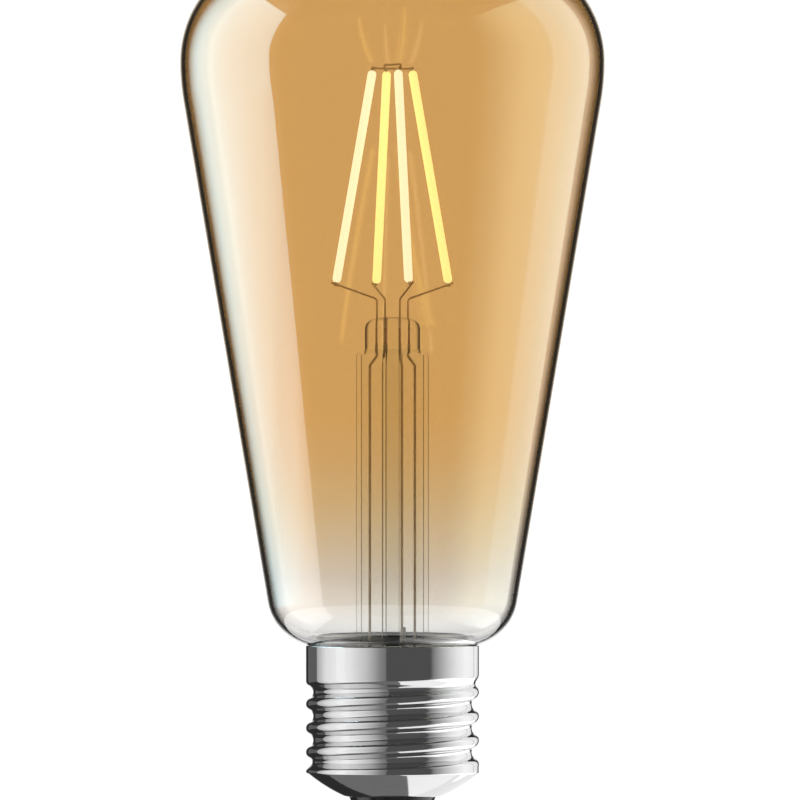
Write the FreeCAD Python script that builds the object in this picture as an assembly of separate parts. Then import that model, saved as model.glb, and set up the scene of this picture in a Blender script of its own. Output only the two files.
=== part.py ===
"""Tapered glass filament lamp with an E27 screw cap and a radio-controlled driver in the cap.

Millimetres, +Z up, cap down. The origin is the centre of the end contact's flat face, on the lamp's axis.
Each sub-part is written to parts/NAME.step.
"""
import FreeCAD, Part
import math
import os

Vector = FreeCAD.Vector
ORIGIN = Vector(0, 0, 0)
Z_AXIS = Vector(0, 0, 1)

# ---- Driving dimensions, in millimetres and degrees ----

# Glass envelope
overall_length = 140.0
bulb_diameter = 64.0
glass_wall = 0.7
crown_height = 25.3  # widest ring to the top of the crown
shoulder_radius = 17.2
taper_blend_radius = 36.0  # eases the widest ring into the taper
foot_radius = 8.0  # rounding where the taper turns in to the neck
foot_inset = 0.7  # the foot rounding's centre lies this far inside the neck's outer radius
neck_fillet = 1.0
neck_depth = 6.0  # rim of the cap to the end of the neck

# E27 screw cap: formed sheet, round thread
cap_diameter = 26.15  # thread crests and collar
cap_sheet = 0.3
thread_pitch = 3.629  # seven turns to the inch
thread_depth = 1.096
thread_zone = 14.8
thread_run_in = 2.7  # the first groove deepens over this height
thread_run_out = 1.8
first_root_drop = 2.73  # first root below the collar, on the -X side
collar_height = 4.3
cap_dome_height = 3.6
cap_dome_radius = 23.7
cap_mouth_diameter = 14.8
wall_sample = 0.2  # height between the rows of points that shape the wall
wall_columns = 36
joining_reach = 0.001  # the thread's spline ends meet the round collar and dome this closely
rim_clearance = 0.15
cement_thickness = 1.175
cement_bottom_gap = 0.1  # above the thread
cement_top_gap = 1.1  # below the rim

# End contact and base insulator
contact_diameter = 9.4
contact_edge_radius = 0.9
contact_head_height = 1.3
contact_shank_diameter = 2.0
contact_shank_length = 4.2
insulator_exposed_height = 2.8
insulator_tip_diameter = 11.0
insulator_depth = 3.1  # cap mouth to the top of the insulator
insulator_seat = 0.03  # glass stands off the sheet by this much

# Glass stem, exhaust tube and seal bead
stem_diameter = 10.95
stem_wall = 0.8
stem_shoulder_height = 71.4
stem_shoulder_radius = 1.3
bead_inset = 1.325  # stem's outside to the bead's
bead_height = 4.9  # stem shoulder to the top of the bead
bead_engagement = 0.6
bead_corner_radius = 1.5
bead_crown_rise = 0.35
exhaust_diameter = 3.0
exhaust_wall = 0.5
exhaust_tip_rise = 3.7  # above the end of the neck

# Filaments: phosphor-coated strips standing in a cone
filament_count = 4
filament_start_angle = 16.0
filament_bottom_radius = 8.8
filament_top_radius = 3.1
filament_lift = 2.4  # support wires' elbows to the lower end
filament_height = 32.0
filament_diameter = 1.3
substrate_width = 0.6
substrate_thickness = 0.25
substrate_overhang = 0.2
tab_thickness = 0.15
tab_lap = 0.6
tab_reach = 0.5
chip_count = 26
chip_length = 0.6
chip_width = 0.3
chip_thickness = 0.1

# Wires
support_wire_diameter = 0.3
support_elbow_rise = 2.7  # top of the bead to the elbow
support_tail = 0.85
wire_bend_radius = 0.6
seal_wire_diameter = 0.3
seal_wire_length = 2.4
support_embed = 1.3
lead_wire_diameter = 0.4
lead_exhaust_gap = 0.85  # exhaust tube to the leads in the bead
lead_tube_clearance = 0.825  # leads to the inside of the stem
lead_jog_height = 1.4
lead_turn_rise = 2.2  # top of the board to where the leads turn in to their pads
lead_bend_radius = 0.5
bridge_gap = 0.3  # between the two bridge wires where they cross

# Driver sleeve and board
sleeve_clearance = 0.23
sleeve_wall = 0.6
sleeve_floor = 0.8
sleeve_neck_gap = 2.2  # sleeve's rim to the end of the neck
sleeve_mouth_diameter = 4.4
rib_length = 0.9
rib_width = 0.6
board_thickness = 1.0
board_side_clearance = 0.25
board_slot_clearance = 0.05
board_lift = 1.2  # board's lower edge above the sleeve's floor
board_proud = 0.4  # board's upper edge above the sleeve's rim
component_gap = 0.15

# Parts on the front of the board
capacitor_diameter = 6.3
capacitor_height = 8.2
capacitor_vent_depth = 0.25
capacitor_edge_radius = 0.4
capacitor_crimp_height = 1.4
capacitor_groove = 0.3
capacitor_shift = 1.0  # further from the resistor than a component gap
inductor_diameter = 5.4
inductor_height = 7.0
inductor_flange = 0.9
inductor_core_diameter = 2.4
winding_clearance = 0.2
inductor_shift = 0.7  # further from the resistor than a component gap
resistor_diameter = 2.0
resistor_waist_diameter = 1.76
resistor_length = 6.0
resistor_end_length = 1.2
resistor_lift = 1.3  # above the board's lower edge
resistor_leg_diameter = 0.5
resistor_leg_reach = 1.0

# Parts on the back of the board
radio_width = 9.0
radio_height = 7.9
radio_thickness = 0.8
radio_inset = 0.9
shield_width = 7.2
shield_height = 5.6
shield_depth = 1.8
shield_sheet = 0.2
shield_corner_radius = 0.6
shield_lift = 0.5  # above the radio board's lower edge
package_length = 4.2
package_width = 3.6
package_thickness = 1.4
transistor_length = 2.6
transistor_width = 1.3
transistor_thickness = 0.9
small_part_length = 1.6
small_part_width = 0.8
small_part_thickness = 0.5
small_part_rows = 2
pin_length = 0.9
pin_width = 0.4
pin_thickness = 0.2
pin_hold = 0.1  # pin inside its package
package_standoff = 0.1
rectifier_pin_pitch = 2.54
driver_pin_pitch = 1.1

# Driver wiring
antenna_diameter = 0.5
antenna_rise = 2.2  # above the cap's rim
antenna_lap = 1.6  # along the radio board
antenna_clearance = 0.6  # above the main board before it leans
antenna_straight = 2.0  # upright below the cap's rim
antenna_bend_radius = 1.5
live_wire_diameter = 0.7
live_bend_radius = 0.45
live_pad_height = 1.0  # board's lower edge to the driver chip, where the live wire is soldered
neutral_wire_diameter = 0.5
neutral_rest_gap = 0.06
neutral_drop = 1.3  # bearing below the middle of the neck's overlap with the collar
neutral_bearing = (-0.2, 0.5)  # lower and upper end of the straight run on the cap
neutral_bend_radius = 0.35
solder_radius = 0.65
solder_under = 0.06  # wires stand off the board by this much
pad_drop = 0.9  # wire pads below the board's top edge

# ---- Levels and radii that follow from them ----

cap_radius = cap_diameter / 2
cap_inner_radius = cap_radius - cap_sheet
mouth_height = contact_head_height + insulator_exposed_height
thread_bottom = mouth_height + cap_dome_height
thread_top = thread_bottom + thread_zone
rim_height = thread_top + collar_height
thread_round = (thread_pitch ** 2 / 4 + thread_depth ** 2) / (4 * thread_depth)

neck_radius = cap_inner_radius - cement_thickness
neck_inner_radius = neck_radius - glass_wall
neck_bottom = rim_height - neck_depth

insulator_top = mouth_height + insulator_depth
stem_radius = stem_diameter / 2
stem_inner_radius = stem_radius - stem_wall
bead_radius = stem_radius - bead_inset
bead_bottom = stem_shoulder_height - bead_engagement
bead_top = stem_shoulder_height + bead_height
lead_bead_radius = exhaust_diameter / 2 + lead_exhaust_gap + lead_wire_diameter / 2
lead_tube_radius = stem_inner_radius - lead_tube_clearance - lead_wire_diameter / 2
wire_offset = substrate_thickness / 2 + tab_thickness + support_wire_diameter / 2
weld_reach = tab_reach / 2  # strip's end to the wire welded across its tab

support_elbow_height = bead_top + support_elbow_rise
filament_bottom_height = support_elbow_height + filament_lift
filament_top_height = filament_bottom_height + filament_height
lower_bridge_height = filament_top_height + weld_reach
upper_bridge_height = lower_bridge_height + support_wire_diameter + bridge_gap

sleeve_radius = cap_radius - thread_depth - cap_sheet - sleeve_clearance
sleeve_inner_radius = sleeve_radius - sleeve_wall
sleeve_top = neck_bottom - sleeve_neck_gap
floor_top = insulator_top + sleeve_floor
board_bottom = floor_top + board_lift
board_top = sleeve_top + board_proud
board_half_width = sleeve_inner_radius - board_side_clearance
board_face = board_thickness / 2

filament_run = filament_bottom_radius - filament_top_radius
filament_length = math.hypot(filament_height, filament_run)
filament_lean = math.degrees(math.atan2(filament_run, filament_height))


# ---- Helpers ----

class Outline:
    """A closed half-section in the XZ plane, drawn from point to point and revolved about Z."""

    def __init__(self, r, z):
        self.first = Vector(r, 0, z)
        self.last = self.first
        self.edges = []

    def line(self, r, z):
        point = Vector(r, 0, z)
        self.edges.append(Part.LineSegment(self.last, point).toShape())
        self.last = point
        return self

    def arc(self, centre, r, z):
        """The shorter arc about centre, given as (r, z)."""
        hub = Vector(centre[0], 0, centre[1])
        point = Vector(r, 0, z)
        spoke = self.last - hub
        middle = hub + (spoke + (point - hub)).normalize() * spoke.Length
        self.edges.append(Part.Arc(self.last, middle, point).toShape())
        self.last = point
        return self

    def step(self, centre, r, z):
        """An arc about centre, or a straight run where centre is None."""
        if centre is None:
            return self.line(r, z)
        return self.arc(centre, r, z)

    def revolved(self):
        self.line(self.first.x, self.first.z)
        face = Part.Face(Part.Wire(self.edges))
        return face.revolve(ORIGIN, Z_AXIS, 360)


def ring(inner, outer, bottom, top):
    return Outline(inner, bottom).line(outer, bottom).line(outer, top).line(inner, top).revolved()


def rod(radius, bottom, top, x=0.0, y=0.0):
    return Part.makeCylinder(radius, top - bottom, Vector(x, y, bottom))


def block(x, y, z):
    """A box from three (low, high) pairs."""
    size = [high - low for low, high in (x, y, z)]
    return Part.makeBox(*size, Vector(x[0], y[0], z[0]))


def polar(radius, degrees, height=0.0):
    angle = math.radians(degrees)
    return Vector(radius * math.cos(angle), radius * math.sin(angle), height)


def wire(points, diameter, bend=wire_bend_radius):
    """A round wire along straight runs joined by tangent bends."""
    corners = [Vector(*p) for p in points]
    edges = []
    start = corners[0]
    for before, corner, after in zip(corners, corners[1:], corners[2:]):
        back = (before - corner).normalize()
        ahead = (after - corner).normalize()
        half_turn = back.getAngle(ahead) / 2
        reach = bend / math.tan(half_turn)
        inward = (back + ahead).normalize()
        middle = corner + inward * (bend / math.sin(half_turn) - bend)
        arc_start = corner + back * reach
        arc_end = corner + ahead * reach
        edges.append(Part.LineSegment(start, arc_start).toShape())
        edges.append(Part.Arc(arc_start, middle, arc_end).toShape())
        start = arc_end
    edges.append(Part.LineSegment(start, corners[-1]).toShape())
    section = Part.Wire(Part.makeCircle(diameter / 2, corners[0], corners[1] - corners[0]))
    return Part.Wire(edges).makePipeShell([section], True, True)


def crown_centre(offset, corner, height):
    """How far below the corner's centre a crown's centre lies, and the crown's radius.

    The crown is centred on the axis and tangent to a corner arc whose centre lies offset from the axis;
    height is the crown's top above the corner's centre.
    """
    drop = (offset ** 2 - (height - corner) ** 2) / (2 * (height - corner))
    return drop, height + drop


def along(centre, direction, distance):
    return centre[0] + direction[0] * distance, centre[1] + direction[1] * distance


def unit(from_point, to_point):
    r, z = to_point[0] - from_point[0], to_point[1] - from_point[1]
    length = math.hypot(r, z)
    return r / length, z / length


# ---- Glass ----

def foot_centre():
    """Centre of the rounding at the envelope's foot, so that it clears the cap's rim."""
    r = neck_radius - foot_inset
    return r, rim_height + rim_clearance + math.sqrt(foot_radius ** 2 - (cap_radius - r) ** 2)


def envelope_wall(inset):
    """The envelope's half-section from crown to neck, inset from the outer surface.

    Returns the start point and a list of (centre or None, r, z) steps; None is a straight run.
    """
    widest = overall_length - crown_height
    shoulder = (bulb_diameter / 2 - shoulder_radius, widest)
    drop, crown_radius = crown_centre(shoulder[0], shoulder_radius, crown_height)
    crown = (0.0, widest - drop)
    blend = (bulb_diameter / 2 - taper_blend_radius, widest)
    foot = foot_centre()
    spread, rise = blend[0] - foot[0], blend[1] - foot[1]
    lean = math.asin((taper_blend_radius - foot_radius) / math.hypot(spread, rise))
    taper = math.atan2(spread, rise) + lean
    out = (math.cos(taper), -math.sin(taper))
    fillet_r = neck_radius + neck_fillet
    fillet_z = foot[1] - math.sqrt((foot_radius + neck_fillet) ** 2 - (fillet_r - foot[0]) ** 2)
    fillet = (fillet_r, fillet_z)
    crown_to_shoulder = unit(crown, shoulder)
    foot_to_fillet = unit(foot, fillet)
    steps = [
        (crown, *along(crown, crown_to_shoulder, crown_radius - inset)),
        (shoulder, *along(shoulder, (1, 0), shoulder_radius - inset)),
        (blend, *along(blend, out, taper_blend_radius - inset)),
        (None, *along(foot, out, foot_radius - inset)),
        (foot, *along(foot, foot_to_fillet, foot_radius - inset)),
        (fillet, *along(fillet, (-1, 0), neck_fillet + inset)),
        (None, neck_radius - inset, neck_bottom),
    ]
    return (0.0, crown[1] + crown_radius - inset), steps


def glass_envelope():
    outer_start, outer = envelope_wall(0.0)
    inner_start, inner = envelope_wall(glass_wall)
    section = Outline(*outer_start)
    for centre, r, z in outer:
        section.step(centre, r, z)
    points = [inner_start] + [(r, z) for _, r, z in inner]
    section.line(*points[-1])
    for (centre, _, _), target in zip(reversed(inner), reversed(points[:-1])):
        section.step(centre, *target)
    return section.revolved()


def glass_stem():
    """Flare, tube and shoulder in one; the flare's rim meets the inside of the neck."""
    flare_radius = neck_inner_radius - stem_radius
    flare = (neck_inner_radius, neck_bottom + stem_wall + flare_radius)
    shoulder = (stem_radius - stem_shoulder_radius, stem_shoulder_height - stem_shoulder_radius)
    section = Outline(stem_inner_radius, flare[1])
    section.arc(flare, neck_inner_radius, neck_bottom)
    section.line(neck_inner_radius, neck_bottom + stem_wall)
    section.arc(flare, stem_radius, flare[1])
    section.line(stem_radius, shoulder[1])
    section.arc(shoulder, shoulder[0], stem_shoulder_height)
    section.line(bead_radius, stem_shoulder_height)
    section.line(bead_radius, stem_shoulder_height - stem_wall)
    section.line(stem_inner_radius, stem_shoulder_height - stem_wall)
    return section.revolved()


def exhaust_tube():
    """Open at the bead, closed to a round tip in the mouth of the flare."""
    outer = exhaust_diameter / 2
    bore = outer - exhaust_wall
    tip_height = neck_bottom + exhaust_tip_rise
    tip = (0.0, tip_height + outer)
    section = Outline(0.0, tip_height)
    section.arc(tip, outer, tip[1])
    section.line(outer, bead_bottom)
    section.line(bore, bead_bottom)
    section.line(bore, tip[1])
    section.arc(tip, 0.0, tip[1] - bore)
    return section.revolved()


def seal_bead(wires):
    """Solid glass bead that the wires are sealed in, with the exhaust bore through it."""
    bore = exhaust_diameter / 2 - exhaust_wall
    corner = (bead_radius - bead_corner_radius, bead_top - bead_corner_radius - bead_crown_rise)
    height = bead_top - corner[1]
    drop, crown_radius = crown_centre(corner[0], bead_corner_radius, height)
    crown = (0.0, corner[1] - drop)
    join = along(crown, unit(crown, corner), crown_radius)
    section = Outline(bore, bead_bottom)
    section.line(bead_radius, bead_bottom)
    section.line(bead_radius, corner[1])
    section.arc(corner, *join)
    section.arc(crown, bore, crown[1] + math.sqrt(crown_radius ** 2 - bore ** 2))
    return section.revolved().cut(Part.makeCompound(wires))


# ---- Filaments ----

def at_station(shape, station):
    """Turns a shape drawn in the +X half-plane to filament number station."""
    turned = shape.copy()
    turned.rotate(ORIGIN, Z_AXIS, filament_start_angle + 360.0 / filament_count * station)
    return turned


def on_filament(shape, station):
    """Stands a shape drawn along +Z from the origin on filament number station."""
    leaned = shape.copy()
    leaned.rotate(ORIGIN, Vector(0, 1, 0), -filament_lean)
    leaned.translate(Vector(filament_bottom_radius, 0, filament_bottom_height))
    return at_station(leaned, station)


def filament_substrate():
    half_width, half_thickness = substrate_width / 2, substrate_thickness / 2
    span = (-substrate_overhang, filament_length + substrate_overhang)
    return block((-half_width, half_width), (-half_thickness, half_thickness), span)


def filament_tab(at_top):
    """Flat metal end tab, lapped on the substrate."""
    low, high = -tab_reach, tab_lap
    if at_top:
        low, high = filament_length - tab_lap, filament_length + tab_reach
    half_width = substrate_width / 2
    face = substrate_thickness / 2
    return block((-half_width, half_width), (face, face + tab_thickness), (low, high))


def filament_chips():
    """Row of light-emitting dies on the face away from the tabs."""
    face = -substrate_thickness / 2
    pitch = (filament_length - 2 * tab_lap) / chip_count
    dies = []
    for number in range(chip_count):
        middle = tab_lap + pitch * (number + 0.5)
        width = (-chip_width / 2, chip_width / 2)
        length = (middle - chip_length / 2, middle + chip_length / 2)
        dies.append(block(width, (face - chip_thickness, face), length))
    return Part.makeCompound(dies)


def filament_coating():
    """Phosphor silicone with round ends, moulded round the strip."""
    radius = filament_diameter / 2
    low, high = (0.0, radius), (0.0, filament_length - radius)
    section = Outline(0.0, 0.0)
    section.arc(low, radius, radius)
    section.line(radius, filament_length - radius)
    section.arc(high, 0.0, filament_length)
    inside = [filament_substrate(), filament_tab(False), filament_tab(True), filament_chips()]
    return section.revolved().cut(inside)


def support_wire():
    """From the bead up, out under the filament and a little past its tab."""
    start = (lead_bead_radius, wire_offset, bead_top - bead_crown_rise - support_embed)
    elbow = (lead_bead_radius, wire_offset, support_elbow_height)
    lean = math.radians(filament_lean)
    tab = along((filament_bottom_radius, filament_bottom_height), (math.sin(lean), -math.cos(lean)), weld_reach)
    direction = unit((lead_bead_radius, support_elbow_height), tab)
    tail = along(tab, direction, support_tail)
    return wire([start, elbow, (tail[0], wire_offset, tail[1])], support_wire_diameter)


def seal_wire():
    top = bead_top - bead_crown_rise - support_embed
    return rod(seal_wire_diameter / 2, top - seal_wire_length, top, lead_bead_radius, wire_offset)


def bridge_ends(station):
    """Where a bridge wire meets the top tabs of an opposite pair, seen from above."""
    near = at_station(Part.Vertex(filament_top_radius, wire_offset, 0), station).Point
    return near, Vector(-near.x, -near.y, 0)


def lower_bridge():
    """Straight link between the first pair of top tabs, with its ends laid along the tabs."""
    inward = filament_top_radius - substrate_width
    outward = filament_top_radius + substrate_width / 2
    route = [
        (outward, wire_offset, lower_bridge_height),
        (inward, wire_offset, lower_bridge_height),
        (-inward, -wire_offset, lower_bridge_height),
        (-outward, -wire_offset, lower_bridge_height),
    ]
    return at_station(wire(route, support_wire_diameter), 0)


def upper_bridge():
    """Staple that carries the second pair over the first without touching it."""
    near, far = bridge_ends(1)
    route = [
        (near.x, near.y, lower_bridge_height),
        (near.x, near.y, upper_bridge_height),
        (far.x, far.y, upper_bridge_height),
        (far.x, far.y, lower_bridge_height),
    ]
    return wire(route, support_wire_diameter, support_wire_diameter)


# ---- Screw cap ----

def crest_height(angle):
    """Height of one thread crest at an angle in radians; the thread is right-handed."""
    root = thread_top - first_root_drop + thread_pitch * (angle - math.pi) / (2 * math.pi)
    return root + thread_pitch / 2


def thread_radius(from_crest, inset):
    """Radius of the round thread at an axial distance from a crest, inset through the sheet."""
    half = thread_pitch / 2
    reach = abs((from_crest + half) % thread_pitch - half)
    crest_round, root_round = thread_round - inset, thread_round + inset
    if reach <= crest_round * half / (2 * thread_round):
        return cap_radius - thread_round + math.sqrt(crest_round ** 2 - reach ** 2)
    centre = cap_radius - thread_depth + thread_round
    return centre - math.sqrt(root_round ** 2 - (half - reach) ** 2)


def ease(share):
    share = min(1.0, max(0.0, share))
    return share * share * (3 - 2 * share)


def dome_profile(inset):
    """The cap's lower dome, an arc from the thread in to the mouth, inset from the outside.

    Returns its centre as (r, z) and a function that gives its radius at a height.
    """
    top = Vector(cap_radius, 0, thread_bottom)
    low = Vector(cap_mouth_diameter / 2, 0, mouth_height)
    chord = top - low
    inward = Vector(-chord.z, 0, chord.x).normalize()
    hub = (top + low) * 0.5 + inward * math.sqrt(cap_dome_radius ** 2 - chord.Length ** 2 / 4)
    radius = cap_dome_radius - inset

    def at_height(height):
        return hub.x + math.sqrt(radius ** 2 - (height - hub.z) ** 2)

    return (hub.x, hub.z), at_height


def threaded_radius(angle, height, inset):
    """The threaded wall, which fades into the plain wall at both ends."""
    plain = cap_radius - inset
    groove = plain - thread_radius(height - crest_height(angle), inset)
    shown = ease((thread_top - height) / thread_run_in) * ease((height - thread_bottom) / thread_run_out)
    return plain - shown * groove


def clamped_knots(low, high, spans):
    """Knots of a clamped cubic spline and the heights that its poles stand for."""
    knots = [low + (high - low) * number / spans for number in range(spans + 1)]
    full = [low] * 3 + knots + [high] * 3
    heights = [sum(full[number + 1:number + 4]) / 3 for number in range(spans + 3)]
    return knots, heights


def threaded_wall(inset):
    """The threaded height of the cap as one cubic spline face closed round the axis."""
    knots, heights = clamped_knots(thread_bottom, thread_top, round(thread_zone / wall_sample))
    step = 2 * math.pi / wall_columns
    pole_reach = 3 / (2 + math.cos(step))  # a cubic's poles lie this much further out than its circle
    poles = []
    for height in heights:
        row = []
        for column in range(wall_columns):
            angle = step * (column - 1)  # starts the face at angle 0
            radius = threaded_radius(angle, height, inset) * pole_reach
            row.append(Vector(radius * math.cos(angle), radius * math.sin(angle), height))
        poles.append(row)
    end_mults = [4] + [1] * (len(knots) - 2) + [4]
    turn_knots = list(range(wall_columns + 1))
    surface = Part.BSplineSurface()
    surface.buildFromPolesMultsKnots(
        poles, end_mults, [1] * len(turn_knots), knots, turn_knots, False, True, 3, 3)
    return surface.toShape()


def level_loop(face, level):
    """The closed edge round a wall at a height."""
    loops = [edge for edge in face.Edges if edge.BoundBox.ZLength < wall_sample]
    return Part.Wire([min(loops, key=lambda edge: abs(edge.BoundBox.ZMin - level))])


def threaded_band():
    """The threaded height as a closed solid: two walls and the flat rings between their ends."""
    outside, inside = threaded_wall(0.0), threaded_wall(cap_sheet)
    faces = [outside, inside]
    for level in (thread_bottom, thread_top):
        loops = [level_loop(outside, level), level_loop(inside, level)]
        faces.append(Part.makeFace(loops, "Part::FaceMakerBullseye"))
    skin = Part.makeShell(faces)
    skin.sewShape()
    solid = Part.makeSolid(skin)
    if solid.Volume < 0:
        solid.reverse()
    return solid


def screw_shell():
    """Collar, thread and dome of formed sheet in one piece."""
    outer_hub, outer_at = dome_profile(0.0)
    inner_hub, inner_at = dome_profile(cap_sheet)
    inner_dome_top = thread_bottom - cap_sheet
    dome = Outline(cap_radius, thread_bottom)
    dome.arc(outer_hub, outer_at(mouth_height), mouth_height)
    dome.line(inner_at(mouth_height), mouth_height)
    dome.arc(inner_hub, inner_at(inner_dome_top), inner_dome_top)
    dome.line(cap_inner_radius, thread_bottom)
    collar = ring(cap_inner_radius, cap_radius, thread_top, rim_height)
    return threaded_band().fuse([collar, dome.revolved()], joining_reach).Solids[0]


def base_insulator():
    """Black glass plug that fills the cap's dome and carries the end contact."""
    hub, at_height = dome_profile(cap_sheet + insulator_seat)
    hole = contact_shank_diameter / 2
    section = Outline(hole, contact_head_height)
    section.line(insulator_tip_diameter / 2, contact_head_height)
    section.line(at_height(mouth_height), mouth_height)
    section.arc(hub, at_height(insulator_top), insulator_top)
    section.line(hole, insulator_top)
    return section.revolved()


def centre_contact():
    """Flat-faced end contact with a shank pressed into the insulator."""
    radius = contact_diameter / 2
    shank = contact_shank_diameter / 2
    edge = (radius - contact_edge_radius, contact_edge_radius)
    section = Outline(0.0, 0.0)
    section.line(edge[0], 0.0)
    section.arc(edge, radius, edge[1])
    section.line(radius, contact_head_height)
    section.line(shank, contact_head_height)
    section.line(shank, contact_head_height + contact_shank_length)
    section.line(0.0, contact_head_height + contact_shank_length)
    return section.revolved()


def capping_cement():
    """Fills the gap between neck and collar."""
    return ring(neck_radius, cap_inner_radius, thread_top + cement_bottom_gap, rim_height - cement_top_gap)


# ---- Driver ----

def driver_sleeve():
    """Plastic cup that keeps the driver off the cap, with ribs that guide the board."""
    cup = Outline(sleeve_mouth_diameter / 2, insulator_top)
    cup.line(sleeve_radius, insulator_top)
    cup.line(sleeve_radius, sleeve_top)
    cup.line(sleeve_inner_radius, sleeve_top)
    cup.line(sleeve_inner_radius, floor_top)
    cup.line(sleeve_mouth_diameter / 2, floor_top)
    body = cup.revolved()
    wall_hold = sleeve_inner_radius + sleeve_wall / 2
    ribs = []
    for side in (-1, 1):
        for face in (-1, 1):
            x = sorted((side * (sleeve_inner_radius - rib_length), side * wall_hold))
            near = face * (board_face + board_slot_clearance)
            y = sorted((near, near + face * rib_width))
            ribs.append(block(x, y, (floor_top, sleeve_top)))
    room = rod(sleeve_radius, insulator_top, sleeve_top)
    return body.fuse([rib.common(room) for rib in ribs]).removeSplitter()


def driver_board():
    width = (-board_half_width, board_half_width)
    return block(width, (-board_face, board_face), (board_bottom, board_top))


def capacitor_place():
    depth = board_face + component_gap + capacitor_diameter / 2
    beside = resistor_diameter / 2 + component_gap + capacitor_diameter / 2
    return -beside - capacitor_shift, -depth


def bulk_capacitor():
    """Electrolytic can with its crimp groove and a scored vent."""
    x, y = capacitor_place()
    radius = capacitor_diameter / 2
    bottom, top = board_bottom, board_bottom + capacitor_height
    can = rod(radius, bottom, top, x, y)
    can = can.makeFillet(capacitor_edge_radius, [e for e in can.Edges if isinstance(e.Curve, Part.Circle)])
    crimp_place = Vector(x, y, bottom + capacitor_crimp_height)
    crimp = Part.makeTorus(radius + capacitor_groove, 2 * capacitor_groove, crimp_place)
    vent = (top - capacitor_vent_depth, top)
    half = capacitor_groove / 2
    across = block((x - radius / 2, x + radius / 2), (y - half, y + half), vent)
    upright = block((x - half, x + half), (y - radius / 2, y + radius / 2), vent)
    return can.cut([crimp, across, upright])


def inductor_place():
    depth = board_face + component_gap + inductor_diameter / 2
    beside = resistor_diameter / 2 + component_gap + inductor_diameter / 2
    return beside + inductor_shift, -depth


def inductor_core():
    x, y = inductor_place()
    radius, waist = inductor_diameter / 2, inductor_core_diameter / 2
    bottom, top = board_bottom, board_bottom + inductor_height
    lower = rod(radius, bottom, bottom + inductor_flange, x, y)
    upper = rod(radius, top - inductor_flange, top, x, y)
    return rod(waist, bottom, top, x, y).fuse([lower, upper]).removeSplitter()


def inductor_winding():
    x, y = inductor_place()
    bottom = board_bottom + inductor_flange
    top = board_bottom + inductor_height - inductor_flange
    coil = rod(inductor_diameter / 2 - winding_clearance, bottom, top, x, y)
    return coil.cut(rod(inductor_core_diameter / 2, bottom, top, x, y))


def fusible_resistor():
    """Upright body with end caps and two legs bent back to the board."""
    radius = resistor_diameter / 2
    y = -(board_face + component_gap + radius)
    bottom = board_bottom + resistor_lift
    top = bottom + resistor_length
    body = rod(resistor_waist_diameter / 2, bottom, top, 0, y)
    ends = [(bottom, bottom + resistor_end_length), (top - resistor_end_length, top)]
    caps = [rod(radius, low, high, 0, y) for low, high in ends]
    legs = []
    for start, tip in ((bottom, bottom - resistor_leg_reach), (top, top + resistor_leg_reach)):
        route = [(0, y, start), (0, y, tip), (0, -board_face, tip)]
        legs.append(wire(route, resistor_leg_diameter, resistor_leg_diameter))
    return body.fuse(caps + legs).removeSplitter()


def package(x, z, length, width, thickness, pins, pin_pitch):
    """Moulded package on the back face with flat pins left and right of it."""
    face = board_face
    underside = face + package_standoff
    body = block(
        (x - width / 2, x + width / 2),
        (underside, underside + thickness),
        (z - length / 2, z + length / 2),
    )
    legs = []
    for number in range(pins):
        height = z + (number - (pins - 1) / 2) * pin_pitch
        for side in (-1, 1):
            reach = sorted((side * (width / 2 - pin_hold), side * (width / 2 + pin_length)))
            span = (height - pin_width / 2, height + pin_width / 2)
            legs.append(block([x + r for r in reach], (face, face + pin_thickness), span))
    return body.fuse(legs).removeSplitter()


def large_column():
    """X of the middle of the larger packages, beside the sleeve's ribs."""
    return -board_half_width + rib_length + component_gap + pin_length + package_width / 2


def small_column():
    """X of the middle of the small parts, between the larger packages and the radio board."""
    left = large_column() + package_width / 2 + pin_length
    return (left + radio_spans()[0][0]) / 2


def rectifier():
    z = driver_chip_top() + component_gap + package_length / 2
    size = (package_length, package_width, package_thickness)
    return package(large_column(), z, *size, 2, rectifier_pin_pitch)


def driver_chip_top():
    return board_bottom + live_pad_height + package_length


def driver_chip():
    z = driver_chip_top() - package_length / 2
    size = (package_length, package_width, package_thickness)
    return package(large_column(), z, *size, 4, driver_pin_pitch)


def dimming_transistors():
    size = (transistor_length, transistor_width, transistor_thickness)
    first = board_bottom + component_gap + transistor_length / 2
    second = first + transistor_length + component_gap
    return Part.makeCompound([package(small_column(), z, *size, 1, 0.0) for z in (first, second)])


def small_parts():
    """Chip resistors and capacitors in two columns above the transistors."""
    first = board_bottom + 3 * component_gap + 2 * transistor_length
    parts = []
    for row in range(small_part_rows):
        z = first + row * (small_part_width + component_gap)
        for side in (-1, 1):
            x = sorted((small_column() + side * component_gap / 2,
                        small_column() + side * (component_gap / 2 + small_part_length)))
            parts.append(block(x, (board_face, board_face + small_part_thickness), (z, z + small_part_width)))
    return Part.makeCompound(parts)


def radio_spans():
    right = board_half_width - radio_inset
    return (right - radio_width, right), (board_bottom, board_bottom + radio_height)


def radio_board():
    x, z = radio_spans()
    return block(x, (board_face, board_face + radio_thickness), z)


def radio_shield():
    """Folded metal can over the radio chip, open towards its board."""
    x, z = radio_spans()
    margin = (radio_width - shield_width) / 2
    near = board_face + radio_thickness
    low = z[0] + shield_lift
    spans = ((x[0] + margin, x[1] - margin), (near, near + shield_depth), (low, low + shield_height))
    can = block(*spans)
    upright = [e for e in can.Edges if e.BoundBox.YLength > shield_depth / 2]
    can = can.makeFillet(shield_corner_radius, upright)
    inside = [(low_end + shield_sheet, high_end - shield_sheet) for low_end, high_end in spans]
    inside[1] = (near, near + shield_depth - shield_sheet)
    return can.cut(block(*inside))


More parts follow.
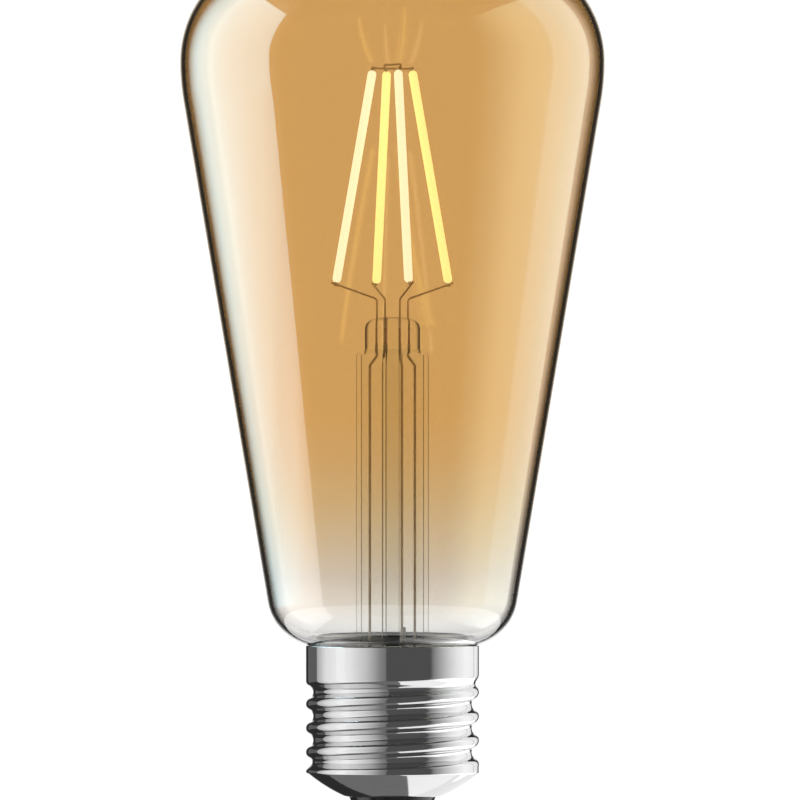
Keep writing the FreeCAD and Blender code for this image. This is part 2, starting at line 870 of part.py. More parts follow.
def antenna_wire():
    """Rises from the radio board through the flare, clear of the cap's metal."""
    x, z = radio_spans()
    radius = antenna_diameter / 2
    start_y = board_face + radio_thickness + radius
    start_x = (x[0] + x[1]) / 2
    between = filament_start_angle + 180.0 / filament_count
    mast = polar(lead_tube_radius, between)
    route = [
        (start_x, start_y, z[1] - antenna_lap),
        (start_x, start_y, board_top + antenna_clearance),
        (mast.x, mast.y, rim_height - antenna_straight),
        (mast.x, mast.y, rim_height + antenna_rise),
    ]
    return wire(route, antenna_diameter, antenna_bend_radius)


def lead_wire(station):
    """From the bead down the stem tube to a pad on the board."""
    start = seal_wire().BoundBox.ZMin
    elbow = bead_bottom - lead_wire_diameter
    tube = at_station(Part.Vertex(lead_tube_radius, wire_offset, 0), station).Point
    bead = at_station(Part.Vertex(lead_bead_radius, wire_offset, 0), station).Point
    side = 1 if tube.y > 0 else -1
    pad_y = side * (board_face + solder_under + lead_wire_diameter / 2)
    turn_z = board_top + lead_turn_rise
    route = [
        (bead.x, bead.y, start),
        (bead.x, bead.y, elbow),
        (tube.x, tube.y, elbow - lead_jog_height),
        (tube.x, tube.y, turn_z),
        (tube.x, pad_y, board_top),
        (tube.x, pad_y, board_top - pad_drop),
    ]
    return wire(route, lead_wire_diameter, lead_bend_radius)


def live_wire():
    """From the foot of the board to the end contact's shank."""
    radius = live_wire_diameter / 2
    x, y = large_column(), board_face + solder_under + radius
    z = (floor_top + board_bottom) / 2
    shank_top = contact_head_height + contact_shank_length
    route = [(x, y, board_bottom + live_pad_height - component_gap), (x, y, z), (0, 0, z), (0, 0, shank_top)]
    return wire(route, live_wire_diameter, live_bend_radius)


def neutral_pad():
    """X of the neutral wire's pad, above the radio board."""
    return radio_spans()[0][1] - radio_width / 4


def neutral_wire():
    """From the board over the sleeve to bear on the inside of the cap, behind a thread crest."""
    radius = neutral_wire_diameter / 2
    contact_z = (thread_top + neck_bottom) / 2 - neutral_drop
    angle = math.degrees(math.pi + 2 * math.pi * (contact_z - crest_height(math.pi)) / thread_pitch) % 360
    gap_z = (sleeve_top + neck_bottom) / 2
    bearing = polar(cap_inner_radius - radius - neutral_rest_gap, angle)
    before = polar(neck_inner_radius, angle)
    x, y = neutral_pad(), board_face + solder_under + radius
    route = [
        (x, y, board_top - pad_drop),
        (x, y, gap_z),
        (before.x, before.y, gap_z),
        (bearing.x, bearing.y, contact_z + neutral_bearing[0]),
        (bearing.x, bearing.y, contact_z + neutral_bearing[1]),
    ]
    return wire(route, neutral_wire_diameter, neutral_bend_radius)


def solder_joints(wires):
    """A rounded bead of solder where each wire meets the board."""
    board = driver_board()
    reach = cap_diameter
    half_spaces = {
        1: block((-reach, reach), (board_face, reach), (0, rim_height)),
        -1: block((-reach, reach), (-reach, -board_face), (0, rim_height)),
    }
    joints = []
    for end, joined in wires:
        side = 1 if end.y > 0 else -1
        ball = Part.makeSphere(solder_radius, Vector(end.x, side * board_face, end.z))
        joints.append(ball.common(half_spaces[side]).cut(joined).cut(board))
    return Part.makeCompound(joints)


# ---- Build ----

def build():
    parts = {
        "glass_envelope": glass_envelope(),
        "glass_stem": glass_stem(),
        "exhaust_tube": exhaust_tube(),
        "screw_shell": screw_shell(),
        "base_insulator": base_insulator(),
        "centre_contact": centre_contact(),
        "capping_cement": capping_cement(),
        "driver_sleeve": driver_sleeve(),
        "driver_board": driver_board(),
        "bulk_capacitor": bulk_capacitor(),
        "inductor_core": inductor_core(),
        "inductor_winding": inductor_winding(),
        "fusible_resistor": fusible_resistor(),
        "rectifier": rectifier(),
        "driver_chip": driver_chip(),
        "dimming_transistors": dimming_transistors(),
        "small_parts": small_parts(),
        "radio_board": radio_board(),
        "radio_shield": radio_shield(),
        "antenna_wire": antenna_wire(),
        "live_wire": live_wire(),
        "neutral_wire": neutral_wire(),
        "lower_bridge_wire": lower_bridge(),
        "upper_bridge_wire": upper_bridge(),
    }
    sealed = []
    board_ends = []
    for station in range(filament_count):
        number = station + 1
        parts[f"filament_coating_{number}"] = on_filament(filament_coating(), station)
        parts[f"filament_substrate_{number}"] = on_filament(filament_substrate(), station)
        parts[f"filament_chips_{number}"] = on_filament(filament_chips(), station)
        parts[f"filament_bottom_tab_{number}"] = on_filament(filament_tab(False), station)
        parts[f"filament_top_tab_{number}"] = on_filament(filament_tab(True), station)
        parts[f"support_wire_{number}"] = at_station(support_wire(), station)
        parts[f"seal_wire_{number}"] = at_station(seal_wire(), station)
        parts[f"lead_wire_{number}"] = lead_wire(station)
        sealed += [parts[f"{kind}_wire_{number}"] for kind in ("support", "seal", "lead")]
        pad = at_station(Part.Vertex(lead_tube_radius, wire_offset, 0), station).Point
        board_ends.append((Vector(pad.x, pad.y, board_top - pad_drop), parts[f"lead_wire_{number}"]))
    parts["seal_bead"] = seal_bead(sealed)
    board_ends.append((Vector(neutral_pad(), board_face, board_top - pad_drop), parts["neutral_wire"]))
    parts["solder_joints"] = solder_joints(board_ends)
    return parts


def main():
    os.makedirs("parts", exist_ok=True)
    for name, shape in build().items():
        shape.exportStep(f"parts/{name}.step")


main()
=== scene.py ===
"""Tapered amber filament lamp with a screw cap, upright before a white backdrop in a soft studio."""

import math

import bmesh
import bpy
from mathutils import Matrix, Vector


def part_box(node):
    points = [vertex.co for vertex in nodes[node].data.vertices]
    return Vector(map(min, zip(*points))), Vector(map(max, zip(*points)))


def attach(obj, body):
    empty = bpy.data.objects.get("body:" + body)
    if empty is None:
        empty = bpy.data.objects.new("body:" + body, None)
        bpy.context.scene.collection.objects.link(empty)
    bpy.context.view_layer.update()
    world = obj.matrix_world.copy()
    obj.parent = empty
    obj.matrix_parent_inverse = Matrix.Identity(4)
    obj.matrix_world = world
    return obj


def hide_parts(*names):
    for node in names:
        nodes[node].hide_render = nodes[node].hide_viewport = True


MM = 0.001

# ---- Sizes the CAD boxes don't give, in millimetres ----

GLASS_WALL = 0.7
CROWN_HEIGHT = 25.3
SHOULDER_RADIUS = 17.2
BLEND_RADIUS = 36.0
FOOT_RADIUS = 8.0
FOOT_INSET = 0.7
RIM_CLEARANCE = 0.15
NECK_FILLET = 1.0

CAP_SHEET = 0.3
TURN_HEIGHT = 0.35  # one turn of the inductor's wire
COLLAR_HEIGHT = 4.3
DOME_HEIGHT = 3.6
DOME_RADIUS = 23.7
THREAD_PITCH = 3.629
THREAD_DEPTH = 1.096
THREAD_RUN_IN = 2.7
THREAD_RUN_OUT = 1.8
FIRST_ROOT_DROP = 2.73
RIM_ROUND = 0.06

# ---- Fineness of the meshes ----

GLASS_SEGMENTS = 192
CAP_SEGMENTS = 180
CROWN_STEPS = 44
SHOULDER_STEPS = 36
BLEND_STEPS = 16
TAPER_STEPS = 60
FOOT_STEPS = 40
FILLET_STEPS = 10
NECK_STEPS = 8
DOME_STEPS = 24
THREAD_STEP = 0.12  # height of a row of the threaded wall, in millimetres

# ---- Colours, linear ----

BODY_GLASS = [  # (height in millimetres, colour of the coated glass)
    (27.0, (0.925, 0.92, 0.905)),
    (30.0, (0.904, 0.892, 0.868)),
    (33.6, (0.880, 0.830, 0.760)),
    (37.0, (0.823, 0.757, 0.674)),
    (41.2, (0.8145, 0.714, 0.573)),
    (48.7, (0.8145, 0.657, 0.441)),
    (54.7, (0.823, 0.627, 0.382)),
    (62.0, (0.830, 0.610, 0.336)),
]
CLEAR = (0.975, 0.98, 0.97)
PALE_GLOW = (0.62, 0.82, 1.0)  # bluish, as the amber glass in front warms it
PALE_STRENGTH = 1.60
WARM_GLOW = (0.90, 1.03, 0.66)
WARM_STRENGTH = 1.23

# Refractive indices; those inside are low so that the thin walls read as fine lines
ENVELOPE_INDEX = 1.5
STEM_INDEX = 1.02
TUBE_INDEX = 1.04
BEAD_INDEX = 1.05

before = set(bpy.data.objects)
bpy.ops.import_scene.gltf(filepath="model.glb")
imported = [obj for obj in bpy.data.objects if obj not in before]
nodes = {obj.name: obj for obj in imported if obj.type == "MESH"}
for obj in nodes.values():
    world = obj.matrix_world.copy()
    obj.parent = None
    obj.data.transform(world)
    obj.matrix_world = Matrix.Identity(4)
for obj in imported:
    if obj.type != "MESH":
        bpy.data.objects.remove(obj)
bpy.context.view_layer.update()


# ---- Places read from the CAD frame, in millimetres ----

def span(name):
    """A CAD node's lowest and highest corners in millimetres."""
    low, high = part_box(name)
    return low / MM, high / MM


glass_low, glass_high = span("glass_envelope")
cap_low, cap_high = span("screw_shell")
glass_radius = glass_high.x
cap_radius = span("capping_cement")[1].x + CAP_SHEET
rim = cap_high.z
mouth = cap_low.z
thread_top = rim - COLLAR_HEIGHT
thread_bottom = mouth + DOME_HEIGHT


def reaches(name, level):
    """Distances from the axis of a CAD node's vertices no higher than a level."""
    return [math.hypot(v.co.x, v.co.y) / MM for v in nodes[name].data.vertices if v.co.z <= level * MM]


neck_radius = min(reaches("capping_cement", rim))
mouth_radius = max(reaches("screw_shell", mouth + 0.01))


# ---- Outlines: lists of (r, z) in millimetres ----

def arc(centre, start, end, steps):
    """Points along the shorter arc about centre, without its first point."""
    a = math.atan2(start[1] - centre[1], start[0] - centre[0])
    b = math.atan2(end[1] - centre[1], end[0] - centre[0])
    radius = math.hypot(start[0] - centre[0], start[1] - centre[1])
    turn = (b - a + math.pi) % (2 * math.pi) - math.pi
    angles = [a + turn * n / steps for n in range(1, steps + 1)]
    return [(centre[0] + radius * math.cos(t), centre[1] + radius * math.sin(t)) for t in angles]


def run(start, end, steps):
    """Points along a straight run, without its first point."""
    shares = [n / steps for n in range(1, steps + 1)]
    return [(start[0] + (end[0] - start[0]) * s, start[1] + (end[1] - start[1]) * s) for s in shares]


def along(centre, toward, distance):
    """The point at a distance from centre in the direction of another."""
    r, z = toward[0] - centre[0], toward[1] - centre[1]
    length = math.hypot(r, z)
    return centre[0] + r / length * distance, centre[1] + z / length * distance


def envelope_outline(inset):
    """One wall of the glass from the top of the crown down to the end of the neck."""
    middle = glass_high.z - CROWN_HEIGHT
    shoulder = (glass_radius - SHOULDER_RADIUS, middle)
    rise = CROWN_HEIGHT - SHOULDER_RADIUS
    drop = (shoulder[0] ** 2 - rise ** 2) / (2 * rise)
    crown, crown_radius = (0.0, middle - drop), CROWN_HEIGHT + drop
    blend = (glass_radius - BLEND_RADIUS, middle)
    foot_r = neck_radius - FOOT_INSET
    foot = (foot_r, rim + RIM_CLEARANCE + math.sqrt(FOOT_RADIUS ** 2 - (cap_radius - foot_r) ** 2))
    gap = math.hypot(blend[0] - foot[0], blend[1] - foot[1])
    taper = math.atan2(blend[0] - foot[0], blend[1] - foot[1]) + math.asin((BLEND_RADIUS - FOOT_RADIUS) / gap)
    out = (math.cos(taper), -math.sin(taper))
    fillet_r = neck_radius + NECK_FILLET
    fillet = (fillet_r, foot[1] - math.sqrt((FOOT_RADIUS + NECK_FILLET) ** 2 - (fillet_r - foot[0]) ** 2))

    top = (0.0, crown[1] + crown_radius - inset)
    crown_end = along(crown, shoulder, crown_radius - inset)
    equator = (glass_radius - inset, middle)
    taper_start = (blend[0] + out[0] * (BLEND_RADIUS - inset), blend[1] + out[1] * (BLEND_RADIUS - inset))
    taper_end = (foot[0] + out[0] * (FOOT_RADIUS - inset), foot[1] + out[1] * (FOOT_RADIUS - inset))
    foot_end = along(foot, fillet, FOOT_RADIUS - inset)
    neck_start = (neck_radius - inset, fillet[1])
    return (
        [top]
        + arc(crown, top, crown_end, CROWN_STEPS)
        + arc(shoulder, crown_end, equator, SHOULDER_STEPS)
        + arc(blend, equator, taper_start, BLEND_STEPS)
        + run(taper_start, taper_end, TAPER_STEPS)
        + arc(foot, taper_end, foot_end, FOOT_STEPS)
        + arc(fillet, foot_end, neck_start, FILLET_STEPS)
        + run(neck_start, (neck_radius - inset, glass_low.z), NECK_STEPS)
    )


def thread_radius(from_crest, inset):
    """Radius of the round thread at an axial distance from a crest, inset through the sheet."""
    round_radius = (THREAD_PITCH ** 2 / 4 + THREAD_DEPTH ** 2) / (4 * THREAD_DEPTH)
    half = THREAD_PITCH / 2
    reach = abs((from_crest + half) % THREAD_PITCH - half)
    crest_round, root_round = round_radius - inset, round_radius + inset
    if reach <= crest_round * half / (2 * round_radius):
        return cap_radius - round_radius + math.sqrt(crest_round ** 2 - reach ** 2)
    centre = cap_radius - THREAD_DEPTH + round_radius
    return centre - math.sqrt(root_round ** 2 - (half - reach) ** 2)


def ease(share):
    """A smooth step from nought to one."""
    share = min(1.0, max(0.0, share))
    return share * share * (3 - 2 * share)


def wall_radius(angle, z, inset):
    """Radius of the cap's threaded wall at an angle in radians and a height."""
    crest = thread_top - FIRST_ROOT_DROP + THREAD_PITCH * (angle / (2 * math.pi) - 0.5) + THREAD_PITCH / 2
    plain_wall = cap_radius - inset
    groove = plain_wall - thread_radius(z - crest, inset)
    shown = ease((thread_top - z) / THREAD_RUN_IN) * ease((z - thread_bottom) / THREAD_RUN_OUT)
    return plain_wall - shown * groove


def dome_radius(z, inset):
    """Radius of the cap's lower dome at a height."""
    top, low = Vector((cap_radius, thread_bottom)), Vector((mouth_radius, mouth))
    chord = top - low
    hub = (top + low) / 2 + Vector((-chord.y, chord.x)).normalized() * math.sqrt(
        DOME_RADIUS ** 2 - chord.length_squared / 4)
    return hub.x + math.sqrt((DOME_RADIUS - inset) ** 2 - (z - hub.y) ** 2)


# ---- Meshes ----

def finish_mesh(name, mesh, replaced):
    """Makes a piece of a bmesh built in millimetres and puts it in the CAD frame."""
    bmesh.ops.recalc_face_normals(mesh, faces=mesh.faces)
    bmesh.ops.scale(mesh, vec=(MM, MM, MM), verts=mesh.verts)
    data = bpy.data.meshes.new(name)
    mesh.to_mesh(data)
    mesh.free()
    for polygon in data.polygons:
        polygon.use_smooth = True
    piece = bpy.data.objects.new(name, data)
    bpy.context.scene.collection.objects.link(piece)
    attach(piece, "root")
    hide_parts(*replaced)
    return piece


def ring_of(mesh, radius_at, z, segments):
    """A ring of vertices, or a single pole where the radius is nought."""
    if radius_at(0.0) < 1e-6:
        return [mesh.verts.new((0, 0, z))]
    turns = [2 * math.pi * n / segments for n in range(segments)]
    return [mesh.verts.new((radius_at(a) * math.cos(a), radius_at(a) * math.sin(a), z)) for a in turns]


def skin(mesh, rings, closed):
    """Joins rings of vertices in order; closed joins the last to the first too."""
    pairs = list(zip(rings, rings[1:]))
    if closed:
        pairs.append((rings[-1], rings[0]))
    for low, high in pairs:
        count = max(len(low), len(high))
        for n in range(count):
            m = (n + 1) % count
            if len(low) == 1:
                mesh.faces.new((low[0], high[n], high[m]))
            elif len(high) == 1:
                mesh.faces.new((low[n], low[m], high[0]))
            else:
                mesh.faces.new((low[n], low[m], high[m], high[n]))


def glass_envelope():
    """The envelope as two walls, joined at the rim of the neck."""
    mesh = bmesh.new()
    outline = envelope_outline(0.0) + envelope_outline(GLASS_WALL)[::-1]
    skin(mesh, [ring_of(mesh, lambda a, r=r: r, z, GLASS_SEGMENTS) for r, z in outline], False)
    return finish_mesh("amber_envelope", mesh, ["glass_envelope"])


def cap_wall(mesh, inset):
    """Rings of one side of the cap's sheet from the mouth up to the rim."""
    rings = []
    dome_low, dome_high = mouth, thread_bottom - inset
    for n in range(DOME_STEPS + 1):
        z = dome_low + (dome_high - dome_low) * n / DOME_STEPS
        rings.append(ring_of(mesh, lambda a, z=z: dome_radius(z, inset), z, CAP_SEGMENTS))
    rows = round((thread_top - thread_bottom) / THREAD_STEP)
    for n in range(1, rows + 1):
        z = thread_bottom + (thread_top - thread_bottom) * n / rows
        rings.append(ring_of(mesh, lambda a, z=z: wall_radius(a, z, inset), z, CAP_SEGMENTS))
    for z in (rim - 3 * RIM_ROUND, rim - RIM_ROUND):
        rings.append(ring_of(mesh, lambda a: cap_radius - inset, z, CAP_SEGMENTS))
    return rings


def screw_cap():
    """The cap's formed sheet: collar, thread and dome, with a rounded lip."""
    mesh = bmesh.new()
    outside, inside = cap_wall(mesh, 0.0), cap_wall(mesh, CAP_SHEET)
    lip = [
        ring_of(mesh, lambda a, r=r: r, rim, CAP_SEGMENTS)
        for r in (cap_radius - RIM_ROUND, cap_radius - CAP_SHEET + RIM_ROUND)
    ]
    skin(mesh, outside + lip + inside[::-1], True)
    return finish_mesh("threaded_cap", mesh, ["screw_shell"])


# ---- Material helpers ----

def new_material(name):
    """A material with its node tree and its shader."""
    material = bpy.data.materials.new(name)
    material.use_nodes = True
    return material, material.node_tree, material.node_tree.nodes["Principled BSDF"]


def assign(material, *names):
    """Gives CAD nodes a material."""
    for name in names:
        for slot in nodes[name].material_slots:
            slot.material = material


def numbered(kind):
    """The four CAD nodes of a kind, one for each filament."""
    return [f"{kind}_{number}" for number in range(1, 5)]


def add(tree, kind, **inputs):
    """A node with its inputs set by name to a value or linked to a socket."""
    node = tree.nodes.new(kind)
    for name, value in inputs.items():
        socket = node.inputs[name.replace("_", " ")]
        if isinstance(value, bpy.types.NodeSocket):
            tree.links.new(value, socket)
        else:
            socket.default_value = value
    return node


def axis(tree, letter):
    """The object-space coordinate along an axis, in metres."""
    place = tree.nodes.new("ShaderNodeTexCoord").outputs["Object"]
    return add(tree, "ShaderNodeSeparateXYZ", Vector=place).outputs[letter]


def calc(tree, operation, *values):
    """The result of a math node on numbers or sockets."""
    node = tree.nodes.new("ShaderNodeMath")
    node.operation = operation
    for socket, value in zip(node.inputs, values):
        if isinstance(value, bpy.types.NodeSocket):
            tree.links.new(value, socket)
        else:
            socket.default_value = value
    return node.outputs[0]


def stretch(tree, value, low, high, to_low=0.0, to_high=1.0):
    """A value moved from one range to another and held within it."""
    node = add(tree, "ShaderNodeMapRange", Value=value)
    node.inputs["From Min"].default_value = low
    node.inputs["From Max"].default_value = high
    node.inputs["To Min"].default_value = to_low
    node.inputs["To Max"].default_value = to_high
    return node.outputs[0]


def ramp(tree, share, stops):
    """Colours against a share: stops are (share, colour)."""
    node = add(tree, "ShaderNodeValToRGB", Fac=share)
    while len(node.color_ramp.elements) < len(stops):
        node.color_ramp.elements.new(0.5)
    for element, (place, color) in zip(node.color_ramp.elements, stops):
        element.position = place
        element.color = (*color, 1)
    return node.outputs[0]


def mix(tree, share, first, second):
    """The first colour where share is nought, the second where it is one."""
    node = tree.nodes.new("ShaderNodeMix")
    node.data_type = "RGBA"
    for index, value in ((0, share), (6, first), (7, second)):
        if isinstance(value, bpy.types.NodeSocket):
            tree.links.new(value, node.inputs[index])
        else:
            node.inputs[index].default_value = value
    return node.outputs[2]


def grain(tree, size, squeeze=(1, 1, 1)):
    """Soft noise between 0 and 1; size is its grain in millimetres."""
    place = tree.nodes.new("ShaderNodeTexCoord").outputs["Object"]
    scaled = add(tree, "ShaderNodeMapping", Vector=place, Scale=[s / (size * MM) for s in squeeze])
    noise = add(tree, "ShaderNodeTexNoise", Vector=scaled.outputs[0], Scale=1.0, Detail=3.0)
    return stretch(tree, noise.outputs[0], 0.3, 0.7)


def raise_surface(tree, shader, height, depth):
    """Bumps a surface; depth is in millimetres."""
    bump = add(tree, "ShaderNodeBump", Height=height, Distance=depth * MM, Strength=1.0)
    tree.links.new(bump.outputs[0], shader.inputs["Normal"])


def mottled(name, dark, light, size, roughness, metallic=0.0, squeeze=(1, 1, 1), bump=0.0):
    """Colour and gloss that wander between two values with a grain in millimetres."""
    material, tree, shader = new_material(name)
    pattern = grain(tree, size, squeeze)
    tree.links.new(ramp(tree, pattern, [(0, dark), (1, light)]), shader.inputs["Base Color"])
    tree.links.new(stretch(tree, pattern, 0, 1, *roughness), shader.inputs["Roughness"])
    shader.inputs["Metallic"].default_value = metallic
    if bump:
        raise_surface(tree, shader, pattern, bump)
    return material


def banded(name, side, low, high, below, above, roughness, metallic=(0.0, 0.0), size=0.8):
    """Two finishes split by a plane across an axis, each with a fine mottle; lengths in millimetres."""
    material, tree, shader = new_material(name)
    share = stretch(tree, axis(tree, side), low * MM, high * MM)
    pattern = grain(tree, size)
    shade = stretch(tree, pattern, 0, 1, 0.82, 1.0)
    color = ramp(tree, share, [(0, below), (1, above)])
    shaded = add(tree, "ShaderNodeVectorMath", Vector=color)
    shaded.operation = "SCALE"
    tree.links.new(shade, shaded.inputs["Scale"])
    tree.links.new(shaded.outputs[0], shader.inputs["Base Color"])
    tree.links.new(stretch(tree, share, 0, 1, *metallic), shader.inputs["Metallic"])
    tree.links.new(stretch(tree, pattern, 0, 1, *roughness), shader.inputs["Roughness"])
    return material


# ---- Glass ----

def amber_glass():
    """Clear glass with an amber coat that thins out towards the foot."""
    material, tree, shader = new_material("amber_glass")
    shader.inputs["Transmission Weight"].default_value = 1.0
    shader.inputs["IOR"].default_value = ENVELOPE_INDEX
    low, high = BODY_GLASS[0][0], BODY_GLASS[-1][0]
    wander = stretch(tree, grain(tree, 9.0), 0, 1, -0.6 * MM, 0.6 * MM)
    height = calc(tree, "ADD", axis(tree, "Z"), wander)
    stops = [((z - low) / (high - low), color) for z, color in BODY_GLASS]
    tint = ramp(tree, stretch(tree, height, low * MM, high * MM), stops)
    tree.links.new(tint, shader.inputs["Base Color"])
    shader.inputs["Roughness"].default_value = 0.0
    return material


def clear_glass(name, index):
    """Nearly colourless glass of a refractive index, with faint drawn streaks."""
    material, tree, shader = new_material(name)
    shader.inputs["Transmission Weight"].default_value = 1.0
    shader.inputs["IOR"].default_value = index
    streaks = grain(tree, 1.2, (1, 1, 0.05))
    tint = ramp(tree, streaks, [(0, tuple(c * 0.97 for c in CLEAR)), (1, CLEAR)])
    tree.links.new(tint, shader.inputs["Base Color"])
    shader.inputs["Roughness"].default_value = 0.0
    return material


# ---- Cap and contact ----

def plated_cap():
    """Bright nickel with faint turning marks round the axis."""
    material, tree, shader = new_material("plated_cap")
    marks = grain(tree, 4.0, (0.4, 0.4, 60))
    clouds = grain(tree, 3.0)
    color = ramp(tree, clouds, [(0, (0.735, 0.735, 0.74)), (1, (0.765, 0.765, 0.765))])
    tree.links.new(color, shader.inputs["Base Color"])
    tree.links.new(stretch(tree, marks, 0, 1, 0.045, 0.075), shader.inputs["Roughness"])
    shader.inputs["Metallic"].default_value = 1.0
    return material


def black_insulator():
    """Glossy black glass with a slight unevenness."""
    dark, light = (0.006, 0.006, 0.007), (0.018, 0.018, 0.02)
    material = mottled("black_insulator", dark, light, 2.5, (0.08, 0.22), bump=0.004)
    material.node_tree.nodes["Principled BSDF"].inputs["Coat Weight"].default_value = 0.4
    return material


# ---- Filaments and driver ----

def phosphor(name, glow, strength):
    """Lit silicone over a finely mottled phosphor."""
    material, tree, shader = new_material(name)
    color = ramp(tree, grain(tree, 0.5), [(0, (0.86, 0.66, 0.26)), (1, (0.92, 0.76, 0.36))])
    tree.links.new(color, shader.inputs["Base Color"])
    tree.links.new(stretch(tree, grain(tree, 0.3), 0, 1, 0.42, 0.6), shader.inputs["Roughness"])
    shader.inputs["Emission Color"].default_value = (*glow, 1)
    shader.inputs["Emission Strength"].default_value = strength
    return material


def winding():
    """Enamelled copper laid in turns one above another, with painted shade darkening the grooves between
    turns.
    """
    material, tree, shader = new_material("copper_winding")
    phase = calc(tree, "MULTIPLY", axis(tree, "Z"), math.pi / (TURN_HEIGHT * MM))
    turn = calc(tree, "ABSOLUTE", calc(tree, "SINE", phase))
    # Painted shade: the ramp darkens the copper towards the grooves between turns and lightens it slightly on
    # their crests
    color = ramp(tree, turn, [(0, (0.16, 0.05, 0.02)), (0.5, (0.62, 0.28, 0.11)), (1, (0.72, 0.36, 0.16))])
    tree.links.new(color, shader.inputs["Base Color"])
    tree.links.new(stretch(tree, grain(tree, 0.6), 0, 1, 0.25, 0.4), shader.inputs["Roughness"])
    shader.inputs["Metallic"].default_value = 0.9
    raise_surface(tree, shader, turn, 0.1)
    return material


def circuit_board():
    """Green mask over straight tracks, with the odd bare via."""
    material, tree, shader = new_material("circuit_board")
    place = tree.nodes.new("ShaderNodeTexCoord").outputs["Object"]
    cells = add(tree, "ShaderNodeTexVoronoi", Vector=place, Scale=1 / (1.6 * MM), Randomness=0.6)
    cells.distance = "MANHATTAN"
    edge = stretch(tree, cells.outputs["Distance"], 0.1, 0.16)
    mask = ramp(tree, grain(tree, 1.4, (1, 1, 3)), [(0.45, (0.02, 0.13, 0.06)), (0.55, (0.04, 0.22, 0.10))])
    tree.links.new(mix(tree, edge, (0.72, 0.66, 0.50, 1), mask), shader.inputs["Base Color"])
    tree.links.new(stretch(tree, grain(tree, 0.5), 0, 1, 0.22, 0.38), shader.inputs["Roughness"])
    return material


# ---- Pieces and materials ----

envelope = glass_envelope()
envelope.data.materials.append(amber_glass())
cap = screw_cap()
cap.data.materials.append(plated_cap())

assign(clear_glass("stem_glass", STEM_INDEX), "glass_stem")
assign(clear_glass("tube_glass", TUBE_INDEX), "exhaust_tube")
assign(clear_glass("bead_glass", BEAD_INDEX), "seal_bead")
for number in (1, 2):
    assign(phosphor(f"warm_phosphor_{number}", WARM_GLOW, WARM_STRENGTH), f"filament_coating_{number}")
for number in (3, 4):
    assign(phosphor(f"pale_phosphor_{number}", PALE_GLOW, PALE_STRENGTH), f"filament_coating_{number}")
for name in numbered("filament_coating"):
    nodes[name].visible_glossy = False  # keeps the strips' ghost images off the crown
assign(
    mottled("strip_ceramic", (0.78, 0.78, 0.74), (0.88, 0.88, 0.85), 0.4, (0.3, 0.5)),
    *numbered("filament_substrate"))
assign(
    mottled("led_die", (0.20, 0.23, 0.36), (0.38, 0.42, 0.55), 0.2, (0.08, 0.2)),
    *numbered("filament_chips"))
assign(
    mottled("nickel", (0.66, 0.52, 0.38), (0.80, 0.66, 0.50), 0.5, (0.35, 0.5), 0.3, (1, 1, 0.2)),
    *numbered("support_wire"), *numbered("filament_top_tab"), *numbered("filament_bottom_tab"),
    "lower_bridge_wire", "upper_bridge_wire")
assign(
    mottled("sealing_copper", (0.40, 0.14, 0.08), (0.62, 0.27, 0.17), 0.4, (0.35, 0.5), 0.7),
    *numbered("seal_wire"))
assign(
    mottled("tinned_copper", (0.62, 0.50, 0.38), (0.76, 0.64, 0.50), 0.7, (0.3, 0.45), 0.3, (1, 1, 0.15)),
    *numbered("lead_wire"), "neutral_wire")
assign(black_insulator(), "base_insulator")
assign(
    mottled("tinned_contact", (0.58, 0.57, 0.54), (0.72, 0.71, 0.68), 1.4, (0.22, 0.4), 1.0, bump=0.01),
    "centre_contact")
assign(
    mottled("cement", (0.62, 0.58, 0.50), (0.82, 0.79, 0.72), 0.5, (0.85, 0.95), bump=0.05),
    "capping_cement")
assign(
    mottled("sleeve_plastic", (0.82, 0.82, 0.79), (0.89, 0.89, 0.86), 1.8, (0.4, 0.55), bump=0.01),
    "driver_sleeve")
assign(circuit_board(), "driver_board", "radio_board")

can_top = span("bulk_capacitor")[1].z
assign(
    banded("capacitor_can", "Z", can_top - 0.5, can_top - 0.4,
           (0.05, 0.055, 0.09), (0.75, 0.75, 0.77), (0.25, 0.4), (0.0, 1.0)),
    "bulk_capacitor")
assign(
    mottled("ferrite", (0.06, 0.06, 0.065), (0.12, 0.12, 0.125), 0.3, (0.5, 0.75), bump=0.01),
    "inductor_core")
assign(winding(), "inductor_winding")
assign(
    mottled("resistor_body", (0.20, 0.36, 0.27), (0.32, 0.48, 0.38), 0.9, (0.3, 0.45)),
    "fusible_resistor")
board_front = span("driver_board")[1].y
assign(
    banded("chip_package", "Y", board_front + 0.2, board_front + 0.25,
           (0.66, 0.66, 0.66), (0.03, 0.03, 0.034), (0.4, 0.6), (1.0, 0.0), 0.3),
    "rectifier", "driver_chip", "dimming_transistors")
assign(mottled("chip_ceramic", (0.36, 0.28, 0.19), (0.52, 0.43, 0.32), 0.3, (0.35, 0.5)), "small_parts")
assign(
    mottled("shield_metal", (0.62, 0.63, 0.64), (0.75, 0.76, 0.77), 0.8, (0.25, 0.4), 1.0, (0.2, 1, 1)),
    "radio_shield")
assign(mottled("grey_insulation", (0.38, 0.39, 0.41), (0.48, 0.49, 0.51), 0.6, (0.35, 0.5)), "antenna_wire")
assign(mottled("red_insulation", (0.50, 0.03, 0.025), (0.66, 0.06, 0.05), 0.6, (0.35, 0.5)), "live_wire")
assign(
    mottled("solder", (0.62, 0.62, 0.64), (0.78, 0.78, 0.80), 0.3, (0.15, 0.35), 1.0, bump=0.02),
    "solder_joints")


# ---- Studio ----

